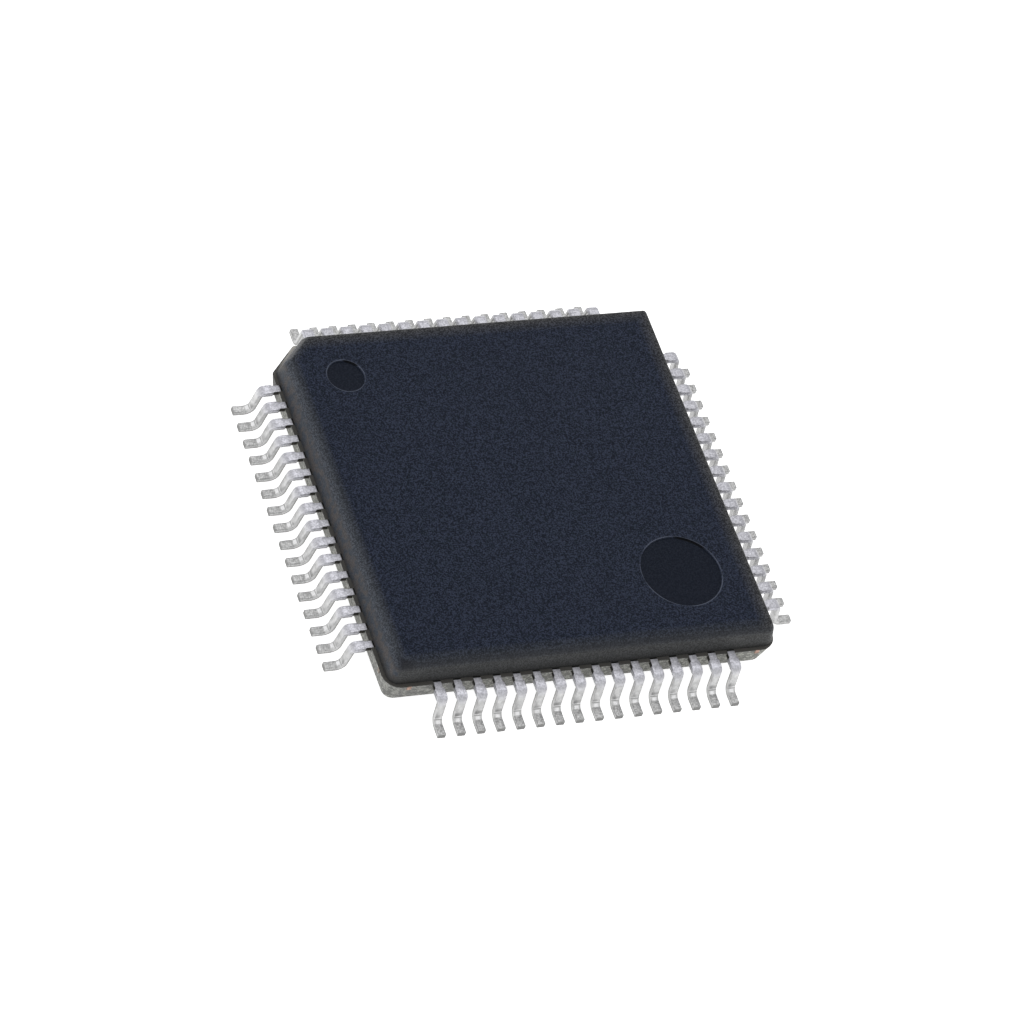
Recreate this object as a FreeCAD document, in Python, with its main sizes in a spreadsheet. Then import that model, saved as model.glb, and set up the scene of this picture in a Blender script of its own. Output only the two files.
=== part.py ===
import FreeCAD, Part

import os

import Sketcher

# Microcontroller chip: a 64-lead low-profile quad flat package, 10 mm square, with a 0.5 mm lead pitch.
#
# Lengths are millimetres and angles are degrees. The origin is the middle of the footprint, on the plane
# that the lead feet stand on. +Z is up. The marked corner of the chip, with its cut edge, is at -X +Y,
# and the leads are numbered from there, down the -X row and on around the chip.

SIZES = {
    # one row of leads, and the moulded body around the four rows
    "lead_pitch": 0.5,
    "leads_per_side": 16,
    "row_end_margin": 1.25,
    "parting_ledge": 0.065,
    "mould_mismatch": 0.03,
    "corner_cut": 0.76,
    "corner_cut_radius": 0.12,
    "base_corner_radius": 0.42,
    "crown_corner_radius": 0.28,
    # heights, from the feet upwards
    "standoff": 0.1,
    "base_depth": 0.58,
    "lead_thickness": 0.125,
    "crown_height": 0.665,
    # the drafted walls of the two mould halves, the rounded lower edge and the bevelled upper edge
    "base_draft": 14,
    "crown_draft": 12,
    "base_edge_radius": 0.13,
    "crown_bevel_depth": 0.235,
    "crown_bevel_run": 0.08,
    # the round recesses in the top face
    "marker_radius": 0.46,
    "marker_side_inset": 1.385,
    "marker_back_inset": 1.465,
    "marker_depth": 0.04,
    "ejector_radius": 1.0,
    "ejector_side_inset": 1.995,
    "ejector_front_inset": 1.905,
    "ejector_depth": 0.035,
    # the outer, gull-wing part of a lead
    "lead_width": 0.2,
    "root_length": 0.17,
    "stub_ear": 0.03,
    "shoulder_length": 0.335,
    "shoulder_bend_radius": 0.07,
    "foot_bend_radius": 0.14,
    "leg_slope": 8,
    "foot_length": 0.27,
    # both bends of a lead are short flats side by side
    "bend_flats": 5,
    # the inner part of a lead, which fans in towards the die paddle
    "finger_straight": 0.57,
    "finger_tip_width": 0.13,
    "finger_gap": 0.35,
    "fan_corner_gap": 0.55,
    # the die paddle and the forked bars that tied it to the lead frame
    "paddle_size": 4.6,
    "tie_bar_width": 0.2,
    "tie_prong_width": 0.1,
    "tie_prong_inset": 0.555,
    # the silicon and its layer of adhesive
    "die_size": 3.4,
    "die_thickness": 0.28,
    "adhesive_margin": 0.06,
    "adhesive_thickness": 0.025,
}

# Heights and half widths that several pieces share.
ROW_HALF = "(sizes.lead_pitch * (round(sizes.leads_per_side) - 1) / 2)"
BASE_HALF = f"({ROW_HALF} + sizes.row_end_margin)"
CROWN_HALF = f"({BASE_HALF} - sizes.parting_ledge)"
CROWN_CUT = "(sizes.corner_cut - (2 - sqrt(2)) * sizes.parting_ledge)"
LEAD_FLOOR = "(sizes.standoff + sizes.base_depth)"
LEAD_TOP = f"({LEAD_FLOOR} + sizes.lead_thickness)"
BODY_TOP = f"({LEAD_TOP} + sizes.crown_height)"
TIP_PLACE = "(sizes.paddle_size / 2 + sizes.finger_gap)"
TIP_ROW_HALF = f"({TIP_PLACE} - sizes.fan_corner_gap)"
FINGER_BEND = f"({BASE_HALF} - sizes.finger_straight)"
DIE_FLOOR = f"({LEAD_TOP} + sizes.adhesive_thickness)"

doc = FreeCAD.newDocument("MicrocontrollerChip")
sheet = doc.addObject("Spreadsheet::Sheet", "sizes")
for row, (alias, size) in enumerate(SIZES.items(), start=1):
    sheet.set(f"A{row}", alias)
    sheet.set(f"B{row}", str(size))
    sheet.setAlias(f"B{row}", alias)
doc.recompute()


def value(expression):
    """The number that an expression of the sheet's sizes stands for."""
    result = sheet.evalExpression(expression)
    return float(getattr(result, "Value", result))


def new_body(label):
    """A body that may hold several separate solids, such as a pair of leads."""
    body = doc.addObject("PartDesign::Body", label)
    body.Label = label
    body.AllowCompound = True
    return body


def origin_feature(body, role):
    """One of the body's own origin planes or axes."""
    return next(feature for feature in body.Origin.OriginFeatures if feature.Role == role)


def new_sketch(body, name, role, offset=None):
    """An empty sketch on an origin plane of the body, moved along the plane's normal by the offset."""
    sketch = body.newObject("Sketcher::SketchObject", name)
    sketch.AttachmentSupport = (origin_feature(body, role), [""])
    sketch.MapMode = "FlatFace"
    if offset:
        sketch.setExpression("AttachmentOffset.Base.z", offset)
    return sketch


def constrain(sketch, kind, *where, size):
    """Add a dimension and bind it to an expression of the sheet's sizes."""
    index = sketch.addConstraint(Sketcher.Constraint(kind, *where, value(size)))
    sketch.setExpression(f"Constraints[{index}]", size)


def pin(sketch, edge, end, point):
    """Hold one end of an edge at a point that is given by two expressions."""
    constrain(sketch, "DistanceX", -1, 1, edge, end, size=point[0])
    constrain(sketch, "DistanceY", -1, 1, edge, end, size=point[1])


def draw_outline(sketch, points):
    """A closed outline of straight lines whose corners are given as pairs of expressions."""
    corners = [FreeCAD.Vector(value(x), value(y), 0) for x, y in points]
    first = sketch.GeometryCount
    count = len(corners)
    for index in range(count):
        line = Part.LineSegment(corners[index], corners[(index + 1) % count])
        sketch.addGeometry(line, False)
    for index in range(count):
        following = first + (index + 1) % count
        sketch.addConstraint(Sketcher.Constraint("Coincident", first + index, 2, following, 1))
    for index, point in enumerate(points):
        pin(sketch, first + index, 1, point)


def draw_box(sketch, low, high):
    """A rectangle between two opposite corners."""
    draw_outline(sketch, [low, (high[0], low[1]), high, (low[0], high[1])])


def draw_circle(sketch, centre, radius):
    """A circle whose centre and radius are given as expressions."""
    middle = FreeCAD.Vector(value(centre[0]), value(centre[1]), 0)
    index = sketch.addGeometry(Part.Circle(middle, FreeCAD.Vector(0, 0, 1), value(radius)), False)
    pin(sketch, index, 3, centre)
    constrain(sketch, "Radius", index, size=radius)


def pad(body, name, sketch, length, reversed_way=False):
    """Raise a sketch by a length."""
    feature = body.newObject("PartDesign::Pad", name)
    feature.Profile = sketch
    feature.Reversed = reversed_way
    feature.setExpression("Length", length)
    return feature


def pocket(body, name, sketch, depth, reversed_way=False):
    """Cut a sketch into the solid by a depth."""
    feature = body.newObject("PartDesign::Pocket", name)
    feature.Profile = sketch
    feature.Reversed = reversed_way
    feature.setExpression("Length", depth)
    return feature


def side_faces(shape, low, high):
    """Names of the faces that are not level and lie between two heights."""
    names = []
    for index, face in enumerate(shape.Faces, start=1):
        box = face.BoundBox
        if box.ZLength > 1e-4 and box.ZMin > low - 1e-4 and box.ZMax < high + 1e-4:
            names.append(f"Face{index}")
    return names


def draft_walls(body, name, base, plane, low, high, angle, inward_down):
    """Slope the walls between two heights by the mould's draft angle, about the parting plane."""
    feature = body.newObject("PartDesign::Draft", name)
    feature.Base = (base, side_faces(base.Shape, low, high))
    feature.NeutralPlane = (plane, [""])
    feature.Reversed = inward_down
    feature.setExpression("Angle", f"sizes.{angle} * 1 deg")
    return feature


def edge_names(shape, chosen):
    """Names of the edges that a test picks."""
    return [f"Edge{index}" for index, edge in enumerate(shape.Edges, start=1) if chosen(edge)]


def fillet(body, name, base, chosen, radius):
    """Round the edges of the base feature that a test picks."""
    feature = body.newObject("PartDesign::Fillet", name)
    feature.Base = (base, edge_names(base.Shape, chosen))
    feature.setExpression("Radius", radius)
    doc.recompute()
    return feature


def rises(edge):
    """True for an edge that climbs from one height to another."""
    return edge.BoundBox.ZLength > 1e-3


def lies_at(edge, height):
    """True for an edge that stays at one height."""
    box = edge.BoundBox
    return abs(box.ZMin - height) < 1e-4 and abs(box.ZMax - height) < 1e-4


def near_cut(edge):
    """True for an edge beside the cut corner at -X +Y."""
    middle = edge.CenterOfMass
    return middle.x < 0 < middle.y


def cut_square(half, cut, shift):
    """A square with one corner cut off, moved by a shift towards -X and -Y."""
    inner = f"({half} - {cut})"
    corners = [
        (f"-{half}", f"-{half}"),
        (half, f"-{half}"),
        (half, half),
        (f"-{inner}", half),
        (f"-{half}", inner),
    ]
    return [(f"({x} - {shift})", f"({y} - {shift})") for x, y in corners]


def mould_half(body, side, half, cut, shift, height, upward):
    """One drafted half of the moulded body, with rounded upright corners that get tighter away from the parting."""
    outline = new_sketch(body, f"{side}_outline", "XY_Plane", LEAD_TOP)
    draw_outline(outline, cut_square(half, cut, shift))
    block = pad(body, f"{side}_block", outline, height, reversed_way=not upward)
    parting = body.newObject("PartDesign::Plane", f"{side}_parting_plane")
    parting.AttachmentSupport = (origin_feature(body, "XY_Plane"), [""])
    parting.MapMode = "FlatFace"
    parting.setExpression("AttachmentOffset.Base.z", LEAD_TOP)
    doc.recompute()
    corners = fillet(
        body, f"{side}_corners", block, lambda e: rises(e) and not near_cut(e), f"sizes.{side}_corner_radius"
    )
    low, high = sorted((value(LEAD_TOP), value(LEAD_TOP) + value(height) * (1 if upward else -1)))
    walls = draft_walls(body, f"{side}_walls", corners, parting, low, high, f"{side}_draft", not upward)
    doc.recompute()
    return fillet(
        body, f"{side}_cut_ends", walls, lambda e: rises(e) and near_cut(e), "sizes.corner_cut_radius"
    )


def moulded_base():
    """The lower mould half, with a rounded lower edge; the two mould halves don't quite line up."""
    body = new_body("moulded_base")
    height = f"({LEAD_TOP} - sizes.standoff)"
    walls = mould_half(
        body, "base", BASE_HALF, "sizes.corner_cut", "sizes.mould_mismatch", height, upward=False
    )
    floor = value("sizes.standoff")
    fillet(body, "base_rim", walls, lambda e: lies_at(e, floor), "sizes.base_edge_radius")
    return body


def moulded_crown():
    """The upper mould half, set in by a ledge, with a bevelled upper edge and two round recesses."""
    body = new_body("moulded_crown")
    walls = mould_half(body, "crown", CROWN_HALF, CROWN_CUT, "0", "sizes.crown_height", upward=True)
    top = value(BODY_TOP)
    bevel = body.newObject("PartDesign::Chamfer", "crown_bevel")
    bevel.Base = (walls, edge_names(walls.Shape, lambda e: lies_at(e, top)))
    bevel.ChamferType = "Two distances"
    bevel.setExpression("Size", "sizes.crown_bevel_depth / cos(sizes.crown_draft * 1 deg)")
    bevel.setExpression("Size2", "sizes.crown_bevel_run")
    marker = (f"(sizes.marker_side_inset - {CROWN_HALF})", f"({CROWN_HALF} - sizes.marker_back_inset)")
    ejector = (f"({CROWN_HALF} - sizes.ejector_side_inset)", f"(sizes.ejector_front_inset - {CROWN_HALF})")
    recess(body, "first_lead_marker", marker, "sizes.marker_radius", "sizes.marker_depth")
    recess(body, "ejector_mark", ejector, "sizes.ejector_radius", "sizes.ejector_depth")
    return body


def recess(body, name, centre, radius, depth):
    """A shallow round recess in the top face."""
    sketch = new_sketch(body, f"{name}_outline", "XY_Plane", BODY_TOP)
    draw_circle(sketch, centre, radius)
    return pocket(body, name, sketch, depth)


def row_place(half, index, count):
    """The place of one of a row's leads, from one end of the row at -half to the other at half."""
    return f"({half} * (2 * {index} / {count - 1} - 1))"


def bend_points(centre, radius, way):
    """Corners of a bend's flats, from its level end to its steep end.

    way is 1 for the shoulder, which turns down from above its centre, and -1 for the foot, which turns
    up from below it.
    """
    flats = round(value("sizes.bend_flats"))
    points = []
    for index in range(flats + 1):
        angle = f"((90 deg - sizes.leg_slope * 1 deg) * {index} / {flats})"
        points.append(
            (
                f"({centre[0]} + ({way}) * {radius} * sin({angle}))",
                f"({centre[1]} + ({way}) * {radius} * cos({angle}))",
            )
        )
    return points


def wing_profile():
    """The upper and lower faces of a lead's strip, seen from the side, from the body to the tip.

    The strip leads away along +X: a flat shoulder, a bend, a steep leg, a bend and a flat foot.
    """
    turn = "(90 deg - sizes.leg_slope * 1 deg)"
    shoulder = (f"({BASE_HALF} + sizes.shoulder_length)", f"({LEAD_FLOOR} - sizes.shoulder_bend_radius)")
    middles = "(sizes.shoulder_bend_radius + sizes.foot_bend_radius + sizes.lead_thickness)"
    foot_z = "(sizes.lead_thickness + sizes.foot_bend_radius)"
    drop = f"({shoulder[1]} - {foot_z} + {middles} * cos({turn}))"
    foot_x = f"({shoulder[0]} + {middles} * sin({turn}) + {drop} * tan(sizes.leg_slope * 1 deg))"
    foot = (foot_x, foot_z)
    tip = f"({foot_x} + sizes.foot_length)"
    thick = "sizes.lead_thickness"
    upper = bend_points(shoulder, f"(sizes.shoulder_bend_radius + {thick})", 1)
    upper += reversed(bend_points(foot, "sizes.foot_bend_radius", -1))
    lower = bend_points(shoulder, "sizes.shoulder_bend_radius", 1)
    lower += reversed(bend_points(foot, f"(sizes.foot_bend_radius + {thick})", -1))
    return upper + [(tip, thick)], lower + [(tip, "0")]


def upright_pad(body, name, points, place, width):
    """A side view, drawn in the XZ plane and thickened by a width to both sides of a row place."""
    sketch = new_sketch(body, f"{name}_profile", "XZ_Plane", f"-{place}")
    draw_outline(sketch, points)
    feature = pad(body, name, sketch, width)
    feature.SideType = "Symmetric"
    return feature


def lead_pair(label, index, count, turned):
    """Two opposite leads: gull wings outside the body, and fingers that fan in towards the paddle."""
    body = new_body(label)
    place = row_place(ROW_HALF, index, count)
    tip_place = row_place(TIP_ROW_HALF, index, count)
    half = "sizes.lead_width / 2"
    upper, lower = wing_profile()

    strip = [(FINGER_BEND, LEAD_TOP)] + upper + lower[::-1] + [(FINGER_BEND, LEAD_FLOOR)]
    upright_pad(body, "strip", strip, place, "sizes.lead_width")
    stub_start = f"({BASE_HALF} + sizes.root_length)"
    stub = [(stub_start, LEAD_TOP), upper[0], upper[1], lower[1], lower[0], (stub_start, LEAD_FLOOR)]
    upright_pad(body, "stub", stub, place, "(sizes.lead_width + 2 * sizes.stub_ear)")

    finger = new_sketch(body, "finger", "XY_Plane", LEAD_FLOOR)
    tip_half = "sizes.finger_tip_width / 2"
    draw_outline(
        finger,
        [
            (TIP_PLACE, f"({tip_place} - {tip_half})"),
            (FINGER_BEND, f"({place} - {half})"),
            (FINGER_BEND, f"({place} + {half})"),
            (TIP_PLACE, f"({tip_place} + {tip_half})"),
        ],
    )
    pad(body, "fan", finger, "sizes.lead_thickness")

    pair = body.newObject("PartDesign::PolarPattern", "opposite_lead")
    pair.TransformMode = "Whole shape"
    pair.Axis = (origin_feature(body, "Z_Axis"), [""])
    pair.Angle = 360
    pair.Occurrences = 2
    body.Tip = pair
    if turned:
        body.Placement = FreeCAD.Placement(FreeCAD.Vector(), FreeCAD.Rotation(FreeCAD.Vector(0, 0, 1), -90))
    return body


def all_leads():
    """Every lead of the four rows, numbered from the marked corner and around the chip."""
    count = round(value("sizes.leads_per_side"))
    pairs = []
    for first, turned in ((1, False), (count + 1, True)):
        for index in range(count):
            number = first + index
            label = f"leads_{number:02d}_{number + 2 * count:02d}"
            pairs.append(lead_pair(label, index, count, turned))
    return pairs


def die_paddle():
    """The square that carries the die, with a forked tie bar from each corner to the body's walls."""
    body = new_body("die_paddle")
    half = "(sizes.paddle_size / 2)"
    square = new_sketch(body, "paddle_outline", "XY_Plane", LEAD_FLOOR)
    draw_box(square, (f"-{half}", f"-{half}"), (half, half))
    pad(body, "paddle", square, "sizes.lead_thickness")

    reach = "(sizes.tie_bar_width / 2 * sqrt(2))"
    root = f"({half} - {reach})"
    fork = f"({BASE_HALF} - sizes.tie_prong_inset)"
    near = f"({fork} - sizes.tie_prong_width / 2)"
    far = f"({fork} + sizes.tie_prong_width / 2)"
    end = f"({BASE_HALF} + sizes.mould_mismatch)"
    bar = new_sketch(body, "tie_bar_outline", "XY_Plane", LEAD_FLOOR)
    draw_outline(
        bar,
        [
            (root, f"({root} - {reach})"),
            (f"({near} + {reach})", near),
            (end, near),
            (end, far),
            (far, far),
            (far, end),
            (near, end),
            (near, f"({near} + {reach})"),
            (f"({root} - {reach})", root),
        ],
    )
    tie_bar = pad(body, "tie_bar", bar, "sizes.lead_thickness")
    ring = body.newObject("PartDesign::PolarPattern", "tie_bars")
    ring.Originals = [tie_bar]
    ring.Axis = (origin_feature(body, "Z_Axis"), [""])
    ring.Angle = 360
    ring.Occurrences = 4
    body.Tip = ring

    inner = f"({BASE_HALF} - sizes.corner_cut)"
    beyond = f"({BASE_HALF} + sizes.corner_cut)"
    corner = new_sketch(body, "cut_corner_outline", "XY_Plane", LEAD_FLOOR)
    draw_outline(
        corner,
        [
            (f"-{BASE_HALF}", inner),
            (f"-{inner}", BASE_HALF),
            (f"-{inner}", beyond),
            (f"-{beyond}", beyond),
            (f"-{beyond}", inner),
        ],
    )
    pocket(body, "cut_corner", corner, "sizes.lead_thickness", reversed_way=True)
    return body


def square_plate(label, size, floor, thickness):
    """A plain square plate on the middle of the chip."""
    body = new_body(label)
    half = f"({size} / 2)"
    outline = new_sketch(body, f"{label}_outline", "XY_Plane", floor)
    draw_box(outline, (f"-{half}", f"-{half}"), (half, half))
    pad(body, f"{label}_plate", outline, thickness)
    return body


def package_body(embedded):
    """The moulded body: both halves as one piece, with the exact space of every piece inside it."""
    moulding = doc.addObject("Part::MultiFuse", "moulding")
    moulding.Shapes = [moulded_base(), moulded_crown()]
    inside = doc.addObject("Part::MultiFuse", "embedded_pieces")
    inside.Shapes = embedded
    result = doc.addObject("Part::Cut", "package_body")
    result.Label = "package_body"
    result.Base = moulding
    result.Tool = inside
    return result


def check(nodes):
    """Stop with a plain message if any object failed or a sub-part isn't a sound solid."""
    for item in doc.Objects:
        if "Invalid" in item.State or "Error" in item.State:
            raise RuntimeError(f"{item.Label} failed to build")
    for node in nodes:
        if node.Shape.isNull() or not node.Shape.isValid() or not node.Shape.Solids:
            raise RuntimeError(f"{node.Label} isn't a valid solid")


def export(node):
    """Write one sub-part to its own file."""
    node.Shape.exportStep(os.path.join("parts", f"{node.Label}.step"))


adhesive_size = "(sizes.die_size + 2 * sizes.adhesive_margin)"
nodes = all_leads()
nodes.append(die_paddle())
nodes.append(square_plate("die_adhesive", adhesive_size, LEAD_TOP, "sizes.adhesive_thickness"))
nodes.append(square_plate("silicon_die", "sizes.die_size", DIE_FLOOR, "sizes.die_thickness"))
nodes.append(package_body(list(nodes)))
doc.recompute()
check(nodes)
os.makedirs("parts", exist_ok=True)
for node in nodes:
    export(node)
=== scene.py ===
import math
from types import SimpleNamespace

import bmesh
import bpy
from mathutils import Matrix, Vector


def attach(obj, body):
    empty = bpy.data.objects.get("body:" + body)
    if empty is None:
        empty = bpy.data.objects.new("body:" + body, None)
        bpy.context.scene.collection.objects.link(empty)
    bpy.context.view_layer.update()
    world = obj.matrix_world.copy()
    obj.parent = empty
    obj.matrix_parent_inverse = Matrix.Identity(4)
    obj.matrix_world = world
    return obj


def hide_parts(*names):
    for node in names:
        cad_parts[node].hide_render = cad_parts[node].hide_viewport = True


# Lengths in this script are millimetres, and MM turns them into metres as meshes and lights are made.
MM = 0.001

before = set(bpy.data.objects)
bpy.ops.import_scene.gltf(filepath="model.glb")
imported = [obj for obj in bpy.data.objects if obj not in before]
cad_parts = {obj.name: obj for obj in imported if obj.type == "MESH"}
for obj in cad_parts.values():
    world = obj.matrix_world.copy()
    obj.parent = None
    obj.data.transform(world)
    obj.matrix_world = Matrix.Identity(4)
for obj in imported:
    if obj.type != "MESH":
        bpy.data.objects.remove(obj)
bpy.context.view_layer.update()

# The moulded body: the parting plane is level with the leads' upper face.
# LEDGE_LIFT here and ROOT_LIFT below keep faces of the body and the leads from lying in one plane.
PARTING = 0.805
BASE_HALF = 5.0
MOULD_SHIFT = 0.03
LEDGE_LIFT = 0.001
CROWN_HALF = 4.935
BASE_FLOOR = 0.1
BODY_TOP = 1.47
BASE_DRAFT = math.radians(14)
CROWN_DRAFT = math.radians(12)
CORNER_CUT = 0.76
CUT_RADIUS = 0.12
CUT_TIGHTENING = 0.9
BASE_CORNER = 0.42
CROWN_CORNER = 0.28
LEAST_CORNER = 0.02
BASE_RIM = 0.13
BASE_RIM_STEPS = 8
BEVEL_DEPTH = 0.235
BEVEL_RUN = 0.08
CREASE = 0.06

# The two recesses in the top face, with a rounded lip and a rounded inner corner.
MARKER = {"centre": (-3.55, 3.47), "radius": 0.46, "depth": 0.04}
EJECTOR = {"centre": (2.94, -3.03), "radius": 1.0, "depth": 0.035}
RECESS_LIP = 0.014
RECESS_FOOT = 0.012
RECESS_MARGIN = 0.003
RECESS_STEPS = 5
# The way in which a recess's wall gets its painted shade, measured around its centre from +X.
SHADE_ANGLE = math.radians(58)

# The leads: one strip each, seen from the side, with the stub that is left of the dam bar.
PITCH = 0.5
PER_SIDE = 16
LEAD_WIDTH = 0.2
LEAD_THICKNESS = 0.125
FINGER_TIP = 2.65
FINGER_TIP_PITCH = 0.28
FINGER_TIP_WIDTH = 0.13
FINGER_BEND = 4.43
ROOT_START = CROWN_HALF - 0.02
ROOT_LIFT = 0.003
STUB_START = 5.17
STUB_FLARE = (-0.025, 0.01)
STUB_EAR = 0.03
SHOULDER_END = 5.335
SHOULDER_RADIUS = 0.07
FOOT_RADIUS = 0.14
LEG_SLOPE = math.radians(8)
FOOT_LENGTH = 0.27
BEND_STEPS = 12
# The stub's sides run in over these steps of the upper bend.
NARROWING_FROM = 5
NARROWING_STEPS = 5
# (way back from the cut tip, narrowing of each side) as the tip tapers.
TIP_TAPER = ((0.03, 0.0), (0.006, 0.001), (0.0, 0.007))
# A strip's section: four rounded edges of some steps each, counted from the upper end of one side face.
EDGE_RADIUS = 0.014
EDGE_STEPS = 3
SECTION_POINTS = 4 * (EDGE_STEPS + 1)
# Shares of the way around the section: the upper face's middle, the fading of the painted highlight patch,
# the under edges.
UPPER_MIDDLE = 3.55 / SECTION_POINTS
PATCH_FADE = (0.20 / SECTION_POINTS, 0.42 / SECTION_POINTS)
UNDER_EDGES = (8.6 / SECTION_POINTS, 14.4 / SECTION_POINTS)

# Places along a lead's strip, from the start of its stub, that its paint refers to.
WALL_SHADE = (-0.212, -0.196)
ROOT_SHADE = (-0.03, 0.0)
MOTTLED = (0.66, 0.77)
GLINT = (0.780, 0.798)
CREASE_SHADE = (0.810, 0.833)
PATCH_START = 0.858
FOOT_START = 0.98
TIP_RUN = 1.30
RIB_PITCH = 0.047

# Edges that turn by more than this stay sharp.
SHARP_ANGLE = math.radians(38)
FLOOR_SIZE = 900
FLOOR_GLOW = 0.86
WORLD_LIGHT = 0.62


def new_object(name, bm):
    """An object from a bmesh that was made in millimetres, shaded smooth except at sharp edges."""
    bmesh.ops.recalc_face_normals(bm, faces=bm.faces)
    bmesh.ops.scale(bm, vec=(MM, MM, MM), verts=bm.verts)
    mesh = bpy.data.meshes.new(name)
    bm.to_mesh(mesh)
    bm.free()
    mesh.shade_smooth()
    mesh.set_sharp_from_angle(angle=SHARP_ANGLE)
    made = bpy.data.objects.new(name, mesh)
    bpy.context.scene.collection.objects.link(made)
    return made


def rounded_outline(half, cut, radius, cut_radius, steps=10):
    """Points around a square with one corner cut off at -X +Y, every corner rounded."""
    inner = half - cut
    corners = [
        ((-half, -half), radius),
        ((half, -half), radius),
        ((half, half), radius),
        ((-inner, half), cut_radius),
        ((-half, inner), cut_radius),
    ]
    points = []
    for index, (corner, turn_radius) in enumerate(corners):
        here = Vector(corner)
        before = (Vector(corners[index - 1][0]) - here).normalized()
        after = (Vector(corners[(index + 1) % len(corners)][0]) - here).normalized()
        turn = math.pi - before.angle(after)
        bisector = (before + after).normalized()
        centre = here + bisector * (turn_radius / math.cos(turn / 2))
        start = (here + before * turn_radius * math.tan(turn / 2)) - centre
        for step in range(steps + 1):
            points.append(centre + Matrix.Rotation(turn * step / steps, 2) @ start)
    return points


def rounded_corner(before, corner, after, reach, steps=4):
    """Points of a curve that rounds a corner of a section, starting and ending at a reach from it."""
    corner = Vector(corner)
    start = corner + (Vector(before) - corner).normalized() * reach
    end = corner + (Vector(after) - corner).normalized() * reach
    points = []
    for step in range(steps + 1):
        share = step / steps
        points.append(start * (1 - share) ** 2 + corner * 2 * share * (1 - share) + end * share**2)
    return points


def base_stations():
    """(inset, rise) stations down the lower half's wall and around its rim."""
    height = PARTING - BASE_FLOOR
    lean = math.tan(BASE_DRAFT)
    middle_rise = height - BASE_RIM
    middle_inset = middle_rise * lean + BASE_RIM / math.cos(BASE_DRAFT)
    first_rise = 0.004
    stations = [(0.0, -LEDGE_LIFT), (first_rise * lean, first_rise)]
    for step in range(BASE_RIM_STEPS + 1):
        angle = BASE_DRAFT + (math.pi / 2 - BASE_DRAFT) * step / BASE_RIM_STEPS
        stations.append((middle_inset - BASE_RIM * math.cos(angle), middle_rise + BASE_RIM * math.sin(angle)))
    return stations


def crown_stations():
    """(inset, rise) stations up the upper half's wall and its bevel, with both creases slightly rounded."""
    height = BODY_TOP - PARTING
    lean = math.tan(CROWN_DRAFT)
    foot = (0.0, 0.0)
    crease_rise = height - BEVEL_DEPTH
    crease = (crease_rise * lean, crease_rise)
    edge = (height * lean + BEVEL_RUN, height)
    inside = (edge[0] + 1.0, height)
    first_rise = 0.005
    stations = [(LEDGE_LIFT * lean, LEDGE_LIFT), (first_rise * lean, first_rise)]
    stations += [tuple(point) for point in rounded_corner(foot, crease, edge, CREASE)]
    stations += [tuple(point) for point in rounded_corner(crease, edge, inside, CREASE)]
    return stations


def half_loop(bm, half, corner, shift, station, sign):
    """One ring of vertices of a mould half; its corners get tighter as the ring gets smaller."""
    inset, rise = station
    cut = CORNER_CUT - (2 - math.sqrt(2)) * (BASE_HALF - half + inset)
    radius = max(corner - inset, LEAST_CORNER)
    cut_radius = CUT_RADIUS * (1 - CUT_TIGHTENING * inset / corner)
    outline = rounded_outline(half - inset, cut, radius, cut_radius)
    return [bm.verts.new((x - shift, y - shift, PARTING + sign * rise)) for x, y in outline]


def bridge(bm, lower, upper):
    """Quads between two rings with the same count of vertices."""
    count = len(lower)
    for index in range(count):
        following = (index + 1) % count
        bm.faces.new((lower[index], lower[following], upper[following], upper[index]))


def circle(bm, centre, radius, height, steps=96):
    """A ring of vertices at one height."""
    ring = []
    for step in range(steps):
        angle = 2 * math.pi * step / steps
        across = centre[0] + radius * math.cos(angle)
        along = centre[1] + radius * math.sin(angle)
        ring.append(bm.verts.new((across, along, height)))
    return ring


def ring_edges(bm, ring):
    """The edges around a ring, made where they don't exist yet."""
    edges = []
    for index, vertex in enumerate(ring):
        following = ring[(index + 1) % len(ring)]
        edges.append(bm.edges.get((vertex, following)) or bm.edges.new((vertex, following)))
    return edges


def recess(bm, place):
    """A round recess with a softly broken edge; returns the ring that meets the top face."""
    centre, radius, depth = place["centre"], place["radius"], place["depth"]
    floor = BODY_TOP - depth
    lip, foot = RECESS_LIP, RECESS_FOOT
    angles = [math.pi / 2 * step / RECESS_STEPS for step in range(RECESS_STEPS + 1)]
    rings = [circle(bm, centre, radius + lip + RECESS_MARGIN, BODY_TOP)]
    for angle in angles:
        around_lip = radius + lip - lip * math.sin(angle)
        rings.append(circle(bm, centre, around_lip, BODY_TOP - lip + lip * math.cos(angle)))
    for angle in angles:
        around_foot = radius - foot + foot * math.cos(angle)
        rings.append(circle(bm, centre, around_foot, floor + foot - foot * math.sin(angle)))
    rings.append(circle(bm, centre, radius - foot - RECESS_MARGIN, floor))
    for upper, lower in zip(rings, rings[1:]):
        bridge(bm, upper, lower)
    bm.faces.new(rings[-1])
    return rings[0]


def make_body():
    """The moulded body as one closed skin: two drafted halves that meet at the parting plane."""
    bm = bmesh.new()
    base = [half_loop(bm, BASE_HALF, BASE_CORNER, MOULD_SHIFT, station, -1) for station in base_stations()]
    crown = [half_loop(bm, CROWN_HALF, CROWN_CORNER, 0.0, station, 1) for station in crown_stations()]
    for half in (base, crown):
        for lower, upper in zip(half, half[1:]):
            bridge(bm, lower, upper)
    bridge(bm, base[0], crown[0])
    bm.faces.new(base[-1])
    edges = ring_edges(bm, crown[-1])
    for place in (MARKER, EJECTOR):
        edges += ring_edges(bm, recess(bm, place))
    bmesh.ops.triangle_fill(bm, use_beauty=True, use_dissolve=False, edges=edges)
    return new_object("moulded_body", bm)


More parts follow.
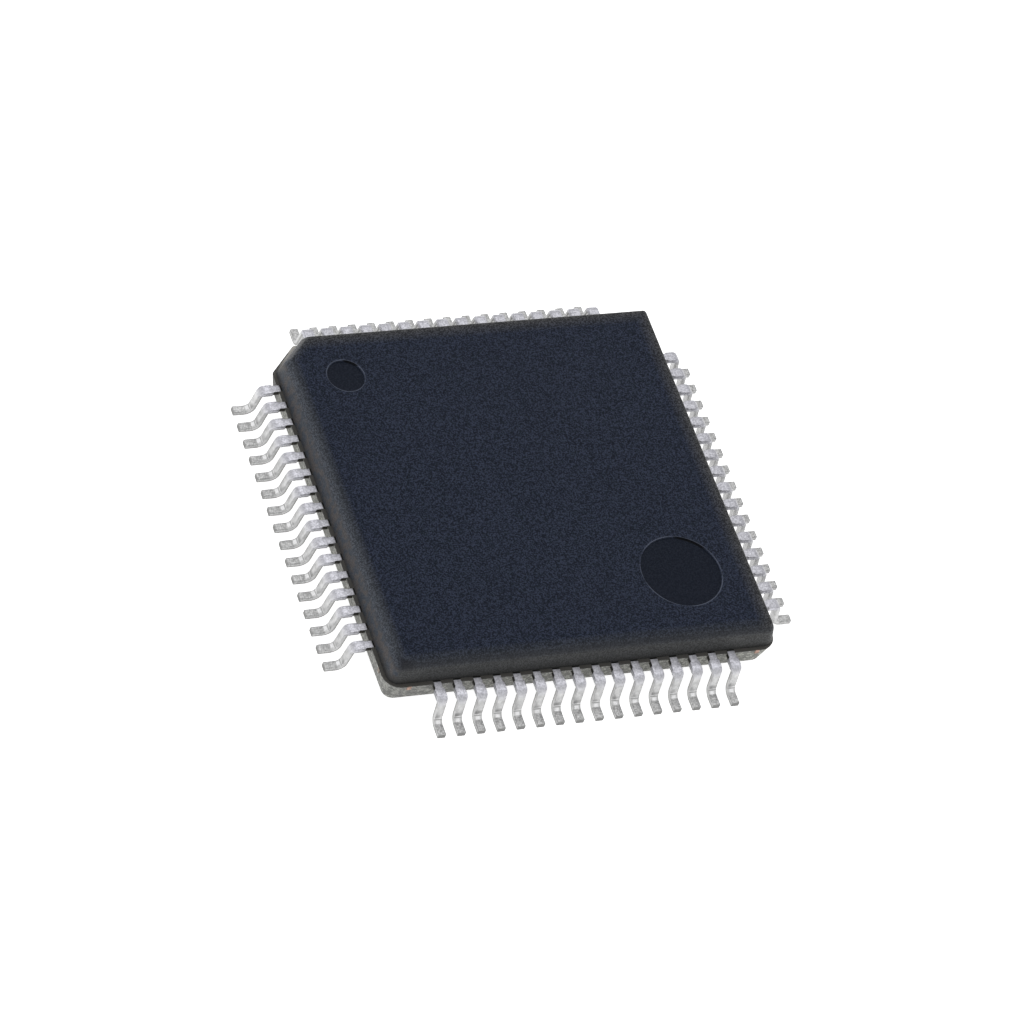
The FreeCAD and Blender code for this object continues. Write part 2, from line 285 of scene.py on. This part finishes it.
def strip_stations():
    """Stations along a lead from finger tip to foot tip.

    Each is x, z, the tangent's angle below level, half the width, and the share of the inner fan.
    """
    half = LEAD_WIDTH / 2
    ear = half + STUB_EAR
    half_thickness = LEAD_THICKNESS / 2
    middle = PARTING - half_thickness
    stations = [
        (FINGER_TIP, middle, 0.0, FINGER_TIP_WIDTH / 2, 1.0),
        (FINGER_BEND, middle, 0.0, half, 0.0),
        (ROOT_START, middle + ROOT_LIFT, 0.0, half, 0.0),
        (BASE_HALF, middle + ROOT_LIFT, 0.0, half, 0.0),
        (STUB_START + STUB_FLARE[0], middle, 0.0, half, 0.0),
        (STUB_START + STUB_FLARE[1], middle, 0.0, ear, 0.0),
        (SHOULDER_END, middle, 0.0, ear, 0.0),
    ]
    turn = math.pi / 2 - LEG_SLOPE
    radius = SHOULDER_RADIUS + half_thickness
    centre_z = middle - radius
    for step in range(1, BEND_STEPS + 1):
        angle = turn * step / BEND_STEPS
        narrowing = min(1.0, max(0.0, (step - NARROWING_FROM) / NARROWING_STEPS))
        width = ear + (half - ear) * narrowing
        x = SHOULDER_END + radius * math.sin(angle)
        stations.append((x, centre_z + radius * math.cos(angle), angle, width, 0.0))
    leg_top_x, leg_top_z = stations[-1][0], stations[-1][1]
    foot_radius = FOOT_RADIUS + half_thickness
    foot_centre_z = half_thickness + foot_radius
    leg_end_z = foot_centre_z - foot_radius * math.cos(turn)
    leg_end_x = leg_top_x + (leg_top_z - leg_end_z) * math.tan(LEG_SLOPE)
    foot_centre_x = leg_end_x + foot_radius * math.sin(turn)
    for step in range(BEND_STEPS + 1):
        angle = turn * (1 - step / BEND_STEPS)
        x = foot_centre_x - foot_radius * math.sin(angle)
        stations.append((x, foot_centre_z - foot_radius * math.cos(angle), angle, half, 0.0))
    tip = foot_centre_x + FOOT_LENGTH
    for back, narrower in TIP_TAPER:
        stations.append((tip - back, half_thickness, 0.0, half - narrower, 0.0))
    return stations


def section(half_width):
    """Across and through offsets of a strip's section, with its four edges slightly rounded."""
    points = []
    half_thickness = LEAD_THICKNESS / 2
    for quarter, (side, face) in enumerate(((1, 1), (-1, 1), (-1, -1), (1, -1))):
        for step in range(EDGE_STEPS + 1):
            angle = math.pi / 2 * (quarter + step / EDGE_STEPS)
            across = side * (half_width - EDGE_RADIUS) + EDGE_RADIUS * math.cos(angle)
            through = face * (half_thickness - EDGE_RADIUS) + EDGE_RADIUS * math.sin(angle)
            points.append((across, through))
    return points


def add_lead(bm, uv, index, quarter_turns):
    """One lead at its place in a row; the row's outward way is +X before it is turned."""
    from_middle = index - (PER_SIDE - 1) / 2
    place = from_middle * PITCH
    tip_place = from_middle * FINGER_TIP_PITCH
    turn = Matrix.Rotation(math.pi / 2 * quarter_turns, 3, "Z")
    stations = strip_stations()
    rings = []
    run = 0.0
    runs = []
    last = None
    for x, z, angle, half_width, fan in stations:
        if last:
            run += math.dist(last, (x, z))
        last = (x, z)
        runs.append(run)
        shift = place + (tip_place - place) * fan
        ring = []
        for across, through in section(half_width):
            point = Vector((x + through * math.sin(angle), shift + across, z + through * math.cos(angle)))
            ring.append(bm.verts.new(turn @ point))
        rings.append(ring)
    start = next(length for length, station in zip(runs, stations) if station[0] >= STUB_START)
    for stretch in range(len(rings) - 1):
        inner, outer = rings[stretch], rings[stretch + 1]
        for corner in range(SECTION_POINTS):
            following = (corner + 1) % SECTION_POINTS
            face = bm.faces.new((inner[corner], inner[following], outer[following], outer[corner]))
            for loop, (along, around) in zip(face.loops, ((0, 0), (0, 1), (1, 1), (1, 0))):
                loop[uv].uv = (runs[stretch + along] - start, (corner + around) / SECTION_POINTS)
    for ring, run in ((rings[0], runs[0]), (rings[-1], runs[-1])):
        face = bm.faces.new(ring)
        for loop in face.loops:
            loop[uv].uv = (run - start, 0.5)


def make_leads():
    """Every pair of opposite leads, each in place of the CAD node of the same pair."""
    made = []
    for first, quarter_turns in ((1, 2), (PER_SIDE + 1, 3)):
        for index in range(PER_SIDE):
            number = first + index
            label = f"{number:02d}_{number + 2 * PER_SIDE:02d}"
            bm = bmesh.new()
            uv = bm.loops.layers.uv.new("run")
            add_lead(bm, uv, index, quarter_turns)
            add_lead(bm, uv, index, quarter_turns + 2)
            pair = new_object(f"lead_pair_{label}", bm)
            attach(pair, "root")
            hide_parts(f"leads_{label}")
            made.append(pair)
    return made


def rgb(red, green, blue):
    """The value of a colour socket."""
    return (red, green, blue, 1)


def grey(level):
    """The value of a colour socket, for an even grey."""
    return rgb(level, level, level)


class Nodes:
    """Short calls for building one node material."""

    def __init__(self, name):
        self.material = bpy.data.materials.new(name)
        self.material.use_nodes = True
        self.tree = self.material.node_tree
        self.shader = self.tree.nodes["Principled BSDF"]

    def put(self, kind, values=None, **settings):
        """A new node, with sockets or plain values given to its inputs."""
        node = self.tree.nodes.new(kind)
        for key, setting in settings.items():
            setattr(node, key, setting)
        for key, given in (values or {}).items():
            if isinstance(given, bpy.types.NodeSocket):
                self.tree.links.new(given, node.inputs[key])
            else:
                node.inputs[key].default_value = given
        return node

    def math(self, operation, first, second=0.0, clamp=False):
        """The result of one operation on two numbers."""
        values = {0: first, 1: second}
        return self.put("ShaderNodeMath", values, operation=operation, use_clamp=clamp).outputs[0]

    def product(self, first, *others):
        """Numbers multiplied in the order given."""
        for other in others:
            first = self.math("MULTIPLY", first, other)
        return first

    def ramp(self, factor, low, high, out_low=0.0, out_high=1.0):
        """A number that runs from one value to another while the factor goes from low to high."""
        values = {"Value": factor, "From Min": low, "From Max": high, "To Min": out_low, "To Max": out_high}
        return self.put("ShaderNodeMapRange", values).outputs["Result"]

    def window(self, factor, rise_from, rise_to, fall_from, fall_to):
        """1 between two places, with a ramp up to it and a ramp down from it."""
        rising = self.ramp(factor, rise_from, rise_to)
        return self.product(rising, self.ramp(factor, fall_from, fall_to, 1.0, 0.0))

    def mix(self, share, first, second):
        """A colour between two colours."""
        return self.put("ShaderNodeMix", {0: share, 6: first, 7: second}, data_type="RGBA").outputs[2]

    def cover(self, under, over, *shares):
        """One colour laid over another; the product of the shares says how much of it shows."""
        return self.mix(self.product(*shares), under, over)

    def split(self, vector):
        """The X, Y and Z parts of a vector."""
        return self.put("ShaderNodeSeparateXYZ", {0: vector}).outputs[:]

    def upward(self):
        """How far the surface faces up, from -1 to 1."""
        return self.split(self.put("ShaderNodeNewGeometry").outputs["Normal"])[2]

    def place_mm(self):
        """Object coordinates in millimetres."""
        coordinates = self.put("ShaderNodeTexCoord")
        scaled = self.put("ShaderNodeVectorMath", {0: coordinates.outputs["Object"]}, operation="SCALE")
        scaled.inputs["Scale"].default_value = 1 / MM
        return scaled.outputs[0]

    def noise(self, vector, scale, detail=2.0, roughness=0.5):
        """Soft random values around 0.5."""
        values = {"Vector": vector, "Scale": scale, "Detail": detail, "Roughness": roughness}
        return self.put("ShaderNodeTexNoise", values).outputs["Fac"]

    def bump(self, height, distance, strength):
        """A normal tilted by a height, for relief too fine to model."""
        values = {"Height": height, "Distance": distance, "Strength": strength}
        return self.put("ShaderNodeBump", values).outputs["Normal"]

    def link(self, socket, name):
        """Lead a socket to the shader."""
        self.tree.links.new(socket, self.shader.inputs[name])

    def set(self, name, value):
        """A constant on the shader's own socket."""
        self.shader.inputs[name].default_value = value


def body_places(m):
    """Where a point of the body lies, in millimetres, and how far out it is towards edges and corners."""
    place = m.place_mm()
    x, y, height = m.split(place)
    return SimpleNamespace(
        place=place,
        x=x,
        height=height,
        upward=m.upward(),
        left_side=m.ramp(x, -4.80, -4.70, 1.0, 0.0),
        front_side=m.ramp(y, -4.72, -4.64, 1.0, 0.0),
        side_ward=m.math("MAXIMUM", m.math("ABSOLUTE", x), m.math("ABSOLUTE", y)),
        far_ward=m.math("MAXIMUM", x, y),
        cut_ward=m.product(m.math("SUBTRACT", y, x), math.sqrt(0.5)),
        front_left_ward=m.product(m.math("ADD", x, y), -math.sqrt(0.5)),
    )


def under_top(m, at, low, high, out_low=0.0, out_high=1.0):
    """A ramp in height between two depths under the top face."""
    return m.ramp(at.height, BODY_TOP - low, BODY_TOP - high, out_low, out_high)


def over_parting(m, at, low, high, out_low=0.0, out_high=1.0):
    """A ramp in height between two heights over the parting plane."""
    return m.ramp(at.height, PARTING + low, PARTING + high, out_low, out_high)


def top_paint(m, at, grain, tint):
    """The top face: blue-grey grain with faint drifts of tint."""
    cloud = m.noise(at.place, 0.35, 2.0, 0.5)
    top = m.mix(grain, rgb(0.0008, 0.0030, 0.0095), rgb(0.0290, 0.0385, 0.0700))
    top = m.cover(top, rgb(0.010, 0.021, 0.028), m.ramp(tint, 0.45, 0.7, 0.0, 0.18))
    return m.cover(top, rgb(0.010, 0.014, 0.026), m.ramp(cloud, 0.3, 0.7, 0.0, 0.12))


def wall_paint(m, at, grain, coarse):
    """The upper half's walls: plain dark grey, with painted light in blue and brown patches on the left side.
    """
    wall = m.mix(grain, rgb(0.0120, 0.0130, 0.0135), rgb(0.0420, 0.0440, 0.0460))
    # Painted light: the left walls are made lighter, in blue and brown patches.
    left_wall_light = m.mix(m.ramp(coarse, 0.42, 0.58), rgb(0.022, 0.034, 0.056), rgb(0.064, 0.054, 0.054))
    return m.cover(wall, left_wall_light, at.left_side, 0.55)


def lower_wall_paint(m, at, grain, tint, wall):
    """The lower half: walls pale with painted light from the floor, blotched, darker towards two corners, and
    an underside like the upper walls.
    """
    # Painted light: the lower walls are pale as if lit by the white floor beneath them.
    lower = m.mix(grain, rgb(0.230, 0.234, 0.210), rgb(0.620, 0.623, 0.560))
    lower = m.cover(lower, rgb(0.130, 0.130, 0.116), m.ramp(tint, 0.44, 0.56, 0.0, 0.80))
    lower = m.cover(lower, rgb(0.100, 0.100, 0.110), m.ramp(at.front_left_ward, 5.6, 6.4, 0.0, 0.35))
    lower = m.cover(lower, rgb(0.032, 0.030, 0.028), m.ramp(at.cut_ward, 6.08, 6.24))
    return m.cover(lower, wall, m.ramp(at.upward, -0.85, -0.62, 1.0, 0.0))


def rim_paint(m, at, grain, skin, upper):
    """The lighter rim of the top face, a painted highlight, wider at the right and the back."""
    # Painted highlight along the rim of the top face, stronger on the left.
    rim = m.math("MAXIMUM", m.ramp(at.side_ward, 4.55, 4.76), m.ramp(at.cut_ward, 6.06, 6.27))
    highlight_share = m.ramp(at.x, -4.60, -4.40, 0.70, 0.5)
    rim_highlight_colour = m.mix(grain, rgb(0.036, 0.039, 0.043), rgb(0.080, 0.085, 0.092))
    upper = m.cover(upper, rim_highlight_colour, rim, skin, highlight_share)
    # Painted highlight, wider along the far rims at the right and the back.
    far_rim_highlight = m.ramp(at.far_ward, 4.34, 4.70, 0.0, 0.75)
    far_highlight_colour = m.mix(grain, grey(0.028), rgb(0.106, 0.103, 0.098))
    return m.cover(upper, far_highlight_colour, far_rim_highlight, skin)


def recess_paint(m, at, grain, skin, floor, upper):
    """Both recesses: a smooth floor, a thin light lip of painted highlight, and a dark crescent of painted
    shade on one side.
    """
    smooth_floor = m.mix(grain, rgb(0.0012, 0.0036, 0.0105), rgb(0.0054, 0.0092, 0.0195))
    upper = m.cover(upper, smooth_floor, floor)
    shade_way = (math.cos(SHADE_ANGLE), math.sin(SHADE_ANGLE), 0)
    values = {0: at.place, 1: shade_way}
    along = m.put("ShaderNodeVectorMath", values, operation="DOT_PRODUCT").outputs["Value"]
    faint = m.ramp(m.noise(at.place, 1.3, 1.0, 0.5), 0.36, 0.56, 0.15, 0.65)
    for mark in (MARKER, EJECTOR):
        centre, radius = mark["centre"], mark["radius"]
        values = {0: at.place, 1: (*centre, BODY_TOP)}
        away = m.put("ShaderNodeVectorMath", values, operation="DISTANCE").outputs["Value"]
        # Painted highlight: a thin light ring along the lip.
        lip = m.window(away, radius - 0.004, radius + 0.006, radius + 0.020, radius + 0.034)
        upper = m.cover(upper, rgb(0.120, 0.135, 0.185), lip, faint, skin)
        # Painted shade: a dark crescent on the wall and floor of one side.
        shade_side = m.math("SUBTRACT", along, centre[0] * shade_way[0] + centre[1] * shade_way[1])
        shaded = m.ramp(shade_side, radius * 0.90, radius * 0.95)
        ring = m.window(away, radius - 0.045, radius - 0.030, radius + 0.012, radius + 0.020)
        upper = m.cover(upper, rgb(0.0008, 0.0008, 0.0012), shaded, ring, 0.9)
    return upper


def corner_paint(m, at, upper):
    """Painted light low on the upper half's cut corner, and painted shade on the bevel where the front and
    left walls meet and low on the walls at that corner.
    """
    # Painted light low on the wall of the cut corner.
    cut_side_light = m.ramp(at.cut_ward, 6.22, 6.40)
    upper = m.cover(upper, rgb(0.110, 0.105, 0.100), cut_side_light, over_parting(m, at, 0.0, 0.10), 0.30)
    # Painted shade on the bevel where the front and left walls meet.
    mitre_shade = m.product(m.ramp(at.front_left_ward, 6.46, 6.60), under_top(m, at, 0.30, 0.22))
    upper = m.cover(upper, rgb(0.006, 0.006, 0.010), mitre_shade, under_top(m, at, 0.05, 0.01, 0.7, 0.0))
    # Painted shade low on the walls at the front left corner.
    low_corner_shade = m.ramp(at.front_left_ward, 6.20, 6.55)
    return m.cover(upper, rgb(0.006, 0.006, 0.007), low_corner_shade, over_parting(m, at, 0.08, 0.24, 0.8, 0.0))


def bevel_paint(m, at, grain, upper):
    """The front bevel's painted shadow, the left bevel's painted sheen, and a dark line of painted shade
    along the foot of the walls.
    """
    bevel = under_top(m, at, 0.245, 0.205)
    shadow = m.product(bevel, under_top(m, at, 0.12, 0.08, 0.42, 0.0))
    upper = m.cover(upper, rgb(0.004, 0.006, 0.010), shadow, at.front_side)
    sheen = m.product(bevel, under_top(m, at, 0.05, 0.01, 0.45, 0.0))
    sheen_colour = m.mix(grain, rgb(0.010, 0.015, 0.026), rgb(0.084, 0.101, 0.128))
    upper = m.cover(upper, sheen_colour, sheen, at.left_side)
    # Painted shade: a dark line along the foot of the upper walls, just above the ledge.
    line = over_parting(m, at, 0.02, 0.22, m.ramp(at.left_side, 0.0, 1.0, 0.62, 0.48), 0.0)
    return m.cover(upper, rgb(0.006, 0.006, 0.005), line)


def ledge_paint(m, at, flat, upper):
    """The ledge at the parting plane, with a pale flash along the cut corner and a dark edge beyond it."""
    flash = m.product(m.ramp(at.cut_ward, 6.455, 6.470), m.ramp(at.front_left_ward, -0.05, 0.42, 1.0, 0.0))
    ledge_colour = m.mix(flash, rgb(0.052, 0.050, 0.045), rgb(0.430, 0.415, 0.385))
    brink = m.product(m.ramp(at.cut_ward, 6.506, 6.512), m.ramp(at.front_left_ward, -0.26, -0.18))
    ledge_colour = m.cover(ledge_colour, grey(0.020), brink)
    return m.cover(upper, ledge_colour, flat, over_parting(m, at, 0.01, 0.03, 1.0, 0.0))


def mould_compound():
    """Matte black moulding compound: fine blue-grey grain on top, plainer walls, smooth recess floors."""
    m = Nodes("mould_compound")
    at = body_places(m)
    flat = m.ramp(at.upward, 0.75, 0.97)
    skin = under_top(m, at, 0.30, 0.03)
    floor = m.product(under_top(m, at, 0.03, 0.012, 1.0, 0.0), flat, skin)

    fine = m.noise(at.place, 27.0, 2.0, 0.6)
    coarse = m.noise(at.place, 6.0, 2.0, 0.5)
    tint = m.noise(at.place, 9.0, 1.0, 0.5)
    grain = m.ramp(m.math("ADD", m.product(fine, 0.93), m.product(coarse, 0.07)), 0.43, 0.60)

    wall = wall_paint(m, at, grain, coarse)
    upper = m.mix(skin, wall, top_paint(m, at, grain, tint))
    upper = rim_paint(m, at, grain, skin, upper)
    upper = recess_paint(m, at, grain, skin, floor, upper)
    upper = corner_paint(m, at, upper)
    upper = bevel_paint(m, at, grain, upper)
    upper = ledge_paint(m, at, flat, upper)
    below = over_parting(m, at, -0.03, -0.008, 1.0, 0.0)
    m.link(m.mix(below, upper, lower_wall_paint(m, at, grain, tint, wall)), "Base Color")

    rough = m.ramp(grain, 0.0, 1.0, 0.62, 0.48)
    m.link(m.math("SUBTRACT", rough, m.product(floor, 0.12)), "Roughness")
    shine = m.ramp(skin, 0.0, 1.0, 0.42, 0.10)
    m.link(m.math("SUBTRACT", shine, m.product(floor, 0.035)), "Specular IOR Level")
    relief = m.product(grain, m.ramp(floor, 0.0, 1.0, 1.0, 0.35))
    m.link(m.bump(relief, 0.006 * MM, 0.55), "Normal")
    return m.material


def lead_places(m):
    """Where a point of a lead lies: along and around its strip, facing which way, and in which row."""
    place = m.place_mm()
    x, y, _ = m.split(place)
    run, around, _ = m.split(m.put("ShaderNodeUVMap", uv_map="run").outputs["UV"])
    upward = m.upward()
    return SimpleNamespace(
        place=place,
        run=run,
        around=around,
        upward=upward,
        upper_side=m.ramp(upward, 0.02, 0.12),
        right_row=m.ramp(x, 4.90, 4.92),
        back_row=m.ramp(y, 4.90, 4.92),
        shaded_row=m.ramp(m.math("MINIMUM", x, y), -4.91, -4.89, 1.0, 0.25),
    )


def band(m, at, start, end, soft=0.012):
    """1 between two places along a lead's strip, falling off softly to 0."""
    return m.window(at.run, start - soft, start + soft, end - soft, end + soft)


def from_line(m, at, line):
    """How far a point is from a line that runs along a lead, as a share of the way around its section."""
    return m.math("ABSOLUTE", m.math("SUBTRACT", at.around, line))


def plating(m, at, speckle, foot, ribbed):
    """The tin itself: bluish and speckled on the shoulder, plain on the leg, worn and ribbed on the foot."""
    blotch = m.noise(at.place, 7.0, 2.0, 0.6)
    speckled = m.ramp(speckle, 0.35, 0.65)
    pale = m.mix(speckled, rgb(0.34, 0.34, 0.37), rgb(0.60, 0.60, 0.65))
    plain = m.mix(m.ramp(blotch, 0.35, 0.65), grey(0.44), grey(0.60))
    plain = m.cover(plain, grey(0.30), m.ramp(speckle, 0.50, 0.72, 0.0, 0.35))
    colour = m.mix(m.ramp(at.run, 0.20, 0.40, 1.0, 0.0), plain, pale)
    worn = m.mix(speckled, grey(0.26), grey(0.60))
    colour = m.cover(colour, worn, foot, 0.95)
    return m.cover(colour, grey(0.24), ribbed, 0.3)


def mottling_and_crease_shade(m, at, colour):
    """Dark mottling on the leg, and a dark line of painted shade across the bend above the foot, on the upper
    side.
    """
    values = {0: at.place, 1: (0.7, 0.7, 0.2)}
    stretched = m.put("ShaderNodeVectorMath", values, operation="MULTIPLY").outputs[0]
    mottled = m.product(band(m, at, *MOTTLED, 0.03), m.ramp(m.noise(stretched, 3.0), 0.40, 0.60), 0.45)
    # Painted shade: a dark line across the bend above the foot.
    crease_shade = m.product(band(m, at, *CREASE_SHADE), 0.7)
    return m.cover(colour, grey(0.12), m.math("ADD", mottled, crease_shade, clamp=True), at.upper_side)


def painted_highlights(m, at, speckle):
    """Where the painted highlights lie: a glint over the crease and a bright patch on the lower bend."""
    in_middle = m.ramp(from_line(m, at, UPPER_MIDDLE), *PATCH_FADE, 1.0, 0.0)
    patch = m.product(band(m, at, PATCH_START, FOOT_START - 0.01), in_middle)
    glint = m.product(band(m, at, *GLINT), 0.7)
    bright = m.math("ADD", glint, patch, clamp=True)
    return m.product(bright, at.upper_side, m.ramp(speckle, 0.38, 0.56, 0.45, 1.0))


def edge_and_row_shade(m, at, colour):
    """Painted shade on the under edges and on the upper faces of the far rows, and the darker bare metal of
    the cut tip.
    """
    # Painted shade along the under edges, weaker in the right row.
    first, second = (m.ramp(from_line(m, at, edge), 0.04, 0.07, 1.0, 0.0) for edge in UNDER_EDGES)
    under_edge_shade = m.math("ADD", first, second, clamp=True)
    colour = m.cover(colour, rgb(0.15, 0.15, 0.14), under_edge_shade, m.ramp(at.right_row, 0.0, 1.0, 0.7, 0.25))
    # Painted shade on the upper faces of the right and back rows.
    far_row_shade = m.math("MAXIMUM", at.right_row, m.product(at.back_row, 0.7))
    colour = m.cover(colour, grey(0.03), far_row_shade, m.ramp(at.run, 0.5, 0.9, 0.22, 0.20), at.upper_side)
    return m.cover(colour, grey(0.14), m.ramp(at.run, TIP_RUN - 0.012, TIP_RUN, 0.0, 0.6))


def root_shades(m, at, colour):
    """Painted shade on a lead's root and where it leaves the wall, strongest in the front and left rows."""
    root = m.product(m.ramp(at.run, *ROOT_SHADE, 1.0, 0.0), m.ramp(at.upward, 0.3, 0.7, 1.0, 0.0))
    # Painted shade on the root's faces that don't face up.
    colour = m.cover(colour, rgb(0.03, 0.027, 0.022), root, at.shaded_row)
    # Painted shade where the lead leaves the wall.
    return m.cover(colour, rgb(0.012, 0.012, 0.011), m.ramp(at.run, *WALL_SHADE, 1.0, 0.0), at.shaded_row)


def tinned_lead():
    """Matte tin plate: pale and speckled on the shoulder, ribbed on the foot, with painted highlights and
    painted shade at the lower bend, the under edges and the roots.
    """
    m = Nodes("tinned_lead")
    at = lead_places(m)
    speckle = m.noise(at.place, 22.0, 3.0, 0.7)
    foot = m.ramp(at.run, FOOT_START - 0.02, FOOT_START + 0.01)
    ribs = m.math("SINE", m.product(at.run, 2 * math.pi / RIB_PITCH))
    ribbed = m.product(m.ramp(ribs, -1.0, 1.0), foot)
    highlight = painted_highlights(m, at, speckle)

    colour = plating(m, at, speckle, foot, ribbed)
    colour = mottling_and_crease_shade(m, at, colour)
    # Painted highlight: near white laid over the glint and the patch on the lower bend.
    colour = m.cover(colour, rgb(0.92, 0.92, 0.93), highlight, 0.9)
    colour = edge_and_row_shade(m, at, colour)
    colour = root_shades(m, at, colour)
    m.link(colour, "Base Color")

    m.set("Metallic", 0.85)
    rough = m.ramp(speckle, 0.3, 0.7, 0.50, 0.34)
    m.link(m.math("SUBTRACT", rough, m.product(highlight, 0.12)), "Roughness")
    relief = m.math("ADD", m.product(speckle, 0.6), m.product(ribbed, 0.5))
    m.link(m.bump(relief, 0.005 * MM, 0.6), "Normal")
    return m.material


def bare_copper():
    """Stamped copper alloy: warm, with drawn streaks and dull spots, dark grey where it ends at the left."""
    m = Nodes("bare_copper")
    place = m.place_mm()
    drawn = m.put("ShaderNodeMapping", {"Vector": place, "Scale": (3.0, 22.0, 22.0)}).outputs[0]
    streaks = m.noise(drawn, 1.0, 3.0)
    spots = m.noise(place, 16.0, 3.0, 0.6)
    colour = m.mix(m.ramp(streaks, 0.35, 0.65), rgb(0.34, 0.21, 0.16), rgb(0.52, 0.34, 0.27))
    colour = m.cover(colour, rgb(0.17, 0.13, 0.11), m.ramp(spots, 0.45, 0.70, 0.0, 0.6))
    colour = m.cover(colour, rgb(0.16, 0.15, 0.13), m.ramp(m.split(place)[0], -4.95, -4.85, 0.8, 0.0))
    m.link(colour, "Base Color")
    m.set("Metallic", 0.6)
    m.link(m.ramp(spots, 0.3, 0.7, 0.38, 0.55), "Roughness")
    m.link(m.bump(streaks, 0.003 * MM, 0.5), "Normal")
    return m.material


def silver_adhesive():
    """Cured silver-filled epoxy: grey with fine flakes."""
    m = Nodes("silver_adhesive")
    flakes = m.noise(m.place_mm(), 30.0, 2.0, 0.7)
    m.link(m.mix(m.ramp(flakes, 0.4, 0.65), grey(0.30), rgb(0.62, 0.62, 0.63)), "Base Color")
    m.set("Metallic", 0.3)
    m.link(m.ramp(flakes, 0.3, 0.7, 0.65, 0.42), "Roughness")
    m.link(m.bump(flakes, 0.004 * MM, 0.5), "Normal")
    return m.material


def silicon():
    """Silicon: smooth dark grey with a faint grid of metal layers on the upper face."""
    m = Nodes("silicon")
    place = m.place_mm()
    cells = m.put("ShaderNodeTexBrick", {"Vector": place, "Scale": 4.0}).outputs["Fac"]
    haze = m.noise(place, 2.0, 3.0, 0.6)
    colour = m.mix(m.ramp(haze, 0.35, 0.7), rgb(0.16, 0.17, 0.20), rgb(0.24, 0.24, 0.26))
    m.link(m.cover(colour, rgb(0.34, 0.31, 0.24), cells, 0.35), "Base Color")
    m.link(m.ramp(haze, 0.3, 0.7, 0.18, 0.28), "Roughness")
    m.link(m.bump(cells, 0.002 * MM, 0.3), "Normal")
    return m.material


def give(thing, material):
    """Make a material the only one of an object."""
    thing.data.materials.clear()
    thing.data.materials.append(material)


def white_floor():
    """A white floor that keeps the object's soft shadow, and looks white to the camera and in metal."""
    bm = bmesh.new()
    bmesh.ops.create_grid(bm, x_segments=8, y_segments=8, size=FLOOR_SIZE)
    floor = new_object("floor", bm)
    m = Nodes("floor_white")
    m.set("Base Color", grey(0.88))
    m.set("Roughness", 0.9)
    m.set("Specular IOR Level", 0.1)
    m.set("Emission Color", grey(1))
    rays = m.put("ShaderNodeLightPath").outputs
    seen = m.math("ADD", rays["Is Camera Ray"], rays["Is Glossy Ray"])
    seen = m.math("ADD", seen, rays["Is Transmission Ray"], clamp=True)
    m.link(m.product(seen, FLOOR_GLOW), "Emission Strength")
    give(floor, m.material)


def white_world():
    """Soft even light from all round; the camera, metal and glass see white."""
    world = bpy.data.worlds.new("studio")
    bpy.context.scene.world = world
    world.use_nodes = True
    tree = world.node_tree
    background = tree.nodes["Background"]
    background.inputs["Color"].default_value = grey(1)
    rays = tree.nodes.new("ShaderNodeLightPath")
    seen = rays.outputs["Is Camera Ray"]
    for name in ("Is Glossy Ray", "Is Transmission Ray"):
        either = tree.nodes.new("ShaderNodeMath")
        either.operation = "MAXIMUM"
        tree.links.new(seen, either.inputs[0])
        tree.links.new(rays.outputs[name], either.inputs[1])
        seen = either.outputs[0]
    strength = tree.nodes.new("ShaderNodeMapRange")
    strength.inputs["To Min"].default_value = WORLD_LIGHT
    strength.inputs["To Max"].default_value = 1.0
    tree.links.new(seen, strength.inputs["Value"])
    tree.links.new(strength.outputs["Result"], background.inputs["Strength"])


def soft_box(name, position, size, watts):
    """A square white soft box that looks at the chip."""
    light = bpy.data.lights.new(name, "AREA")
    light.shape = "SQUARE"
    light.size = size * MM
    light.energy = watts
    lamp = bpy.data.objects.new(name, light)
    lamp.location = Vector(position) * MM
    lamp.rotation_euler = (-Vector(position)).to_track_quat("-Z", "Y").to_euler()
    bpy.context.scene.collection.objects.link(lamp)


def camera():
    """The photograph's camera, found from the corners of the body and the tips of the leads."""
    data = bpy.data.cameras.new("camera")
    data.lens = 205.0
    data.sensor_width = 36.0
    data.clip_start = 0.005
    data.clip_end = 10.0
    eye = bpy.data.objects.new("camera", data)
    place = Vector((-55.285, -72.854, 104.005)) * MM
    right = Vector((0.91283493, -0.30418527, 0.27240358))
    down = Vector((-0.08480443, -0.79380267, -0.60223378))
    ahead = Vector((0.39942533, 0.526639, -0.75040707))
    turn = Matrix((right, -down, -ahead)).transposed()
    eye.matrix_world = Matrix.Translation(place) @ turn.to_4x4()
    bpy.context.scene.collection.objects.link(eye)
    bpy.context.scene.camera = eye


body = make_body()
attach(body, "root")
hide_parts("package_body")
give(body, mould_compound())

tin = tinned_lead()
for pair in make_leads():
    give(pair, tin)
give(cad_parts["die_paddle"], bare_copper())
give(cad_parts["die_adhesive"], silver_adhesive())
give(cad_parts["silicon_die"], silicon())

white_floor()
white_world()
soft_box("key", position=(60, 90, 170), size=160, watts=0.07)
soft_box("fill", position=(-190, -25, 62), size=130, watts=0.08)
camera()

bpy.context.scene.view_settings.view_transform = "Standard"
